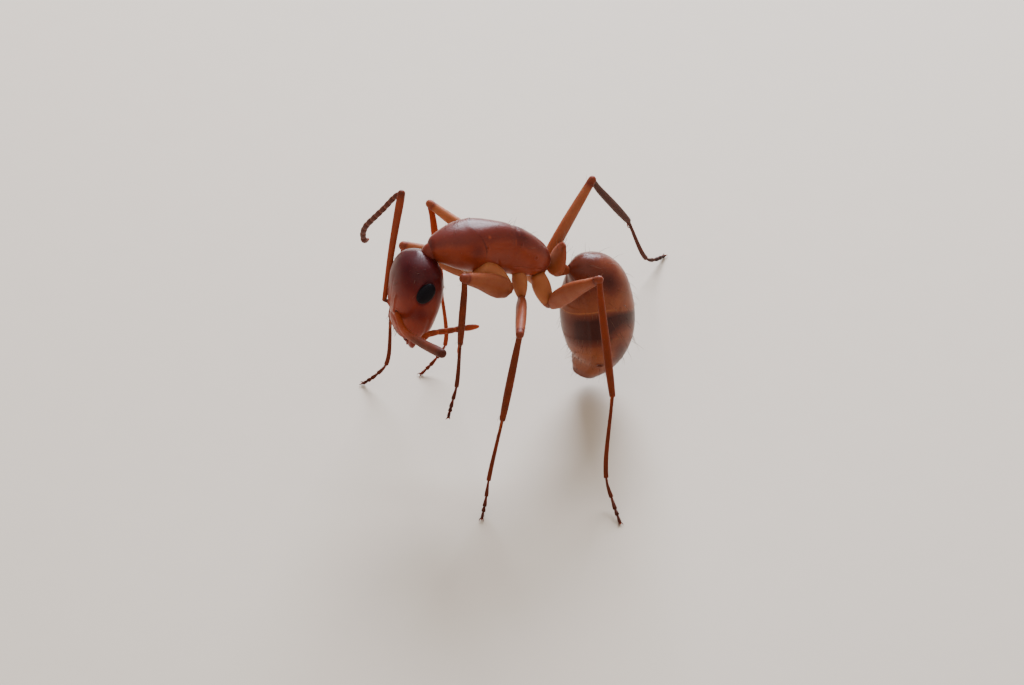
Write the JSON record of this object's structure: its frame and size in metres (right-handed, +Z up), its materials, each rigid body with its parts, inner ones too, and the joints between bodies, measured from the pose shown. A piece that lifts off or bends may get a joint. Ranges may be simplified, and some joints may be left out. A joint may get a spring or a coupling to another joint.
{
  "type": "carpenter ant worker",
  "caption": "Life-size still model of an amber carpenter ant worker standing with one foreleg raised as it cleans an antenna.",
  "frame": {"origin": "on the floor, under the middle of the whole outline", "axes": "+Z up, -X the way the head faces, -Y towards the ant's left side; the body's mid-plane is parallel to XZ"},
  "size_m": [0.0114, 0.0118, 0.0074],
  "materials": {
    "head_shell": "glossy dark red-brown chitin, finely netted",
    "mandible": "glossy dark red-brown chitin",
    "trunk_shell": "glossy red-brown chitin, darker on the back",
    "leg_shell": "translucent amber chitin",
    "shin_shell": "red-brown chitin with fine bristles",
    "foot_shell": "dark red-brown chitin with fine bristles",
    "gaster_shell": "glossy amber-brown chitin with dark bands",
    "antenna_shell": "red-brown chitin with fine down",
    "eye": "glossy black compound eye",
    "bristle": "golden hair"
  },
  "bodies": {
    "root": {"pronotum": "trunk_shell", "mesonotum": "trunk_shell", "propodeum": "trunk_shell", "petiole": "leg_shell", "gaster_1": "gaster_shell", "gaster_2": "gaster_shell", "gaster_3": "gaster_shell", "gaster_4": "gaster_shell", "gaster_5": "gaster_shell", "head": "head_shell", "eye_left": "eye", "mandible_left": "mandible", "scape_left": "antenna_shell", "funiculus_left": "antenna_shell", "eye_right": "eye", "mandible_right": "mandible", "scape_right": "antenna_shell", "funiculus_right": "antenna_shell", "left_fore_coxa": "leg_shell", "left_fore_femur": "leg_shell", "left_fore_tibia": "shin_shell", "left_fore_tarsus": "foot_shell", "right_fore_coxa": "leg_shell", "right_fore_femur": "leg_shell", "right_fore_tibia": "shin_shell", "right_fore_tarsus": "foot_shell", "left_mid_coxa": "leg_shell", "left_mid_femur": "leg_shell", "left_mid_tibia": "shin_shell", "left_mid_tarsus": "foot_shell", "right_mid_coxa": "leg_shell", "right_mid_femur": "leg_shell", "right_mid_tibia": "shin_shell", "right_mid_tarsus": "foot_shell", "left_hind_coxa": "leg_shell", "left_hind_femur": "leg_shell", "left_hind_tibia": "shin_shell", "left_hind_tarsus": "foot_shell", "right_hind_coxa": "leg_shell", "right_hind_femur": "leg_shell", "right_hind_tibia": "shin_shell", "right_hind_tarsus": "foot_shell"}
  },
  "joints": []
}
